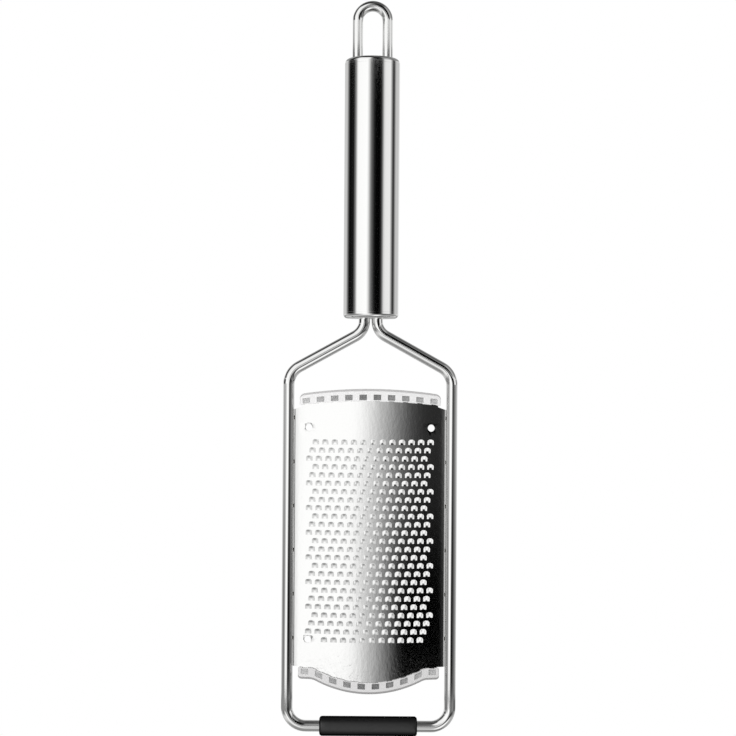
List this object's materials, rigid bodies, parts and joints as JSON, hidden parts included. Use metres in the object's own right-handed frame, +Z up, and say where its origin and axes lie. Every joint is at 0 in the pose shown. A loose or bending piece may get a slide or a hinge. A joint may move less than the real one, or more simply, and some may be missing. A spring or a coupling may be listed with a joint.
{
  "type": "rasp zester",
  "caption": "Wire-framed rasp zester: hanging loop, tubular steel handle, arched toothed blade between two side wires, clear end guards and a rubber foot sleeve.",
  "frame": {"origin": "inner crown of the hanging loop, where a peg or hook carries the tool", "axes": "+Z up along the handle towards the loop; -Y out of the toothed face; +X to the right of someone who faces the teeth"},
  "size_m": [0.0732, 0.023, 0.3085],
  "materials": {
    "handle_steel": "stainless tube, lengthwise polish close to mirror",
    "cap_steel": "pressed stainless cup, polished flush with the tube",
    "loop_steel": "bright drawn stainless wire",
    "frame_steel": "bright drawn stainless wire",
    "blade_steel": "etched stainless sheet, fine satin",
    "weld_steel": "weld metal, matt",
    "guard_plastic": "clear moulded plastic, slightly frosted",
    "foot_rubber": "black moulded rubber, smooth"
  },
  "bodies": {
    "root": {"hanging_loop": "loop_steel", "handle_tube": "handle_steel", "handle_top_cap": "cap_steel", "handle_bottom_cap": "cap_steel", "loop_weld_beads": "weld_steel", "frame_weld_bead": "weld_steel", "frame_wire": "frame_steel", "blade": "blade_steel", "blade_spot_welds": "weld_steel", "upper_end_guard": "guard_plastic", "lower_end_guard": "guard_plastic", "rubber_foot": "foot_rubber"}
  },
  "joints": []
}
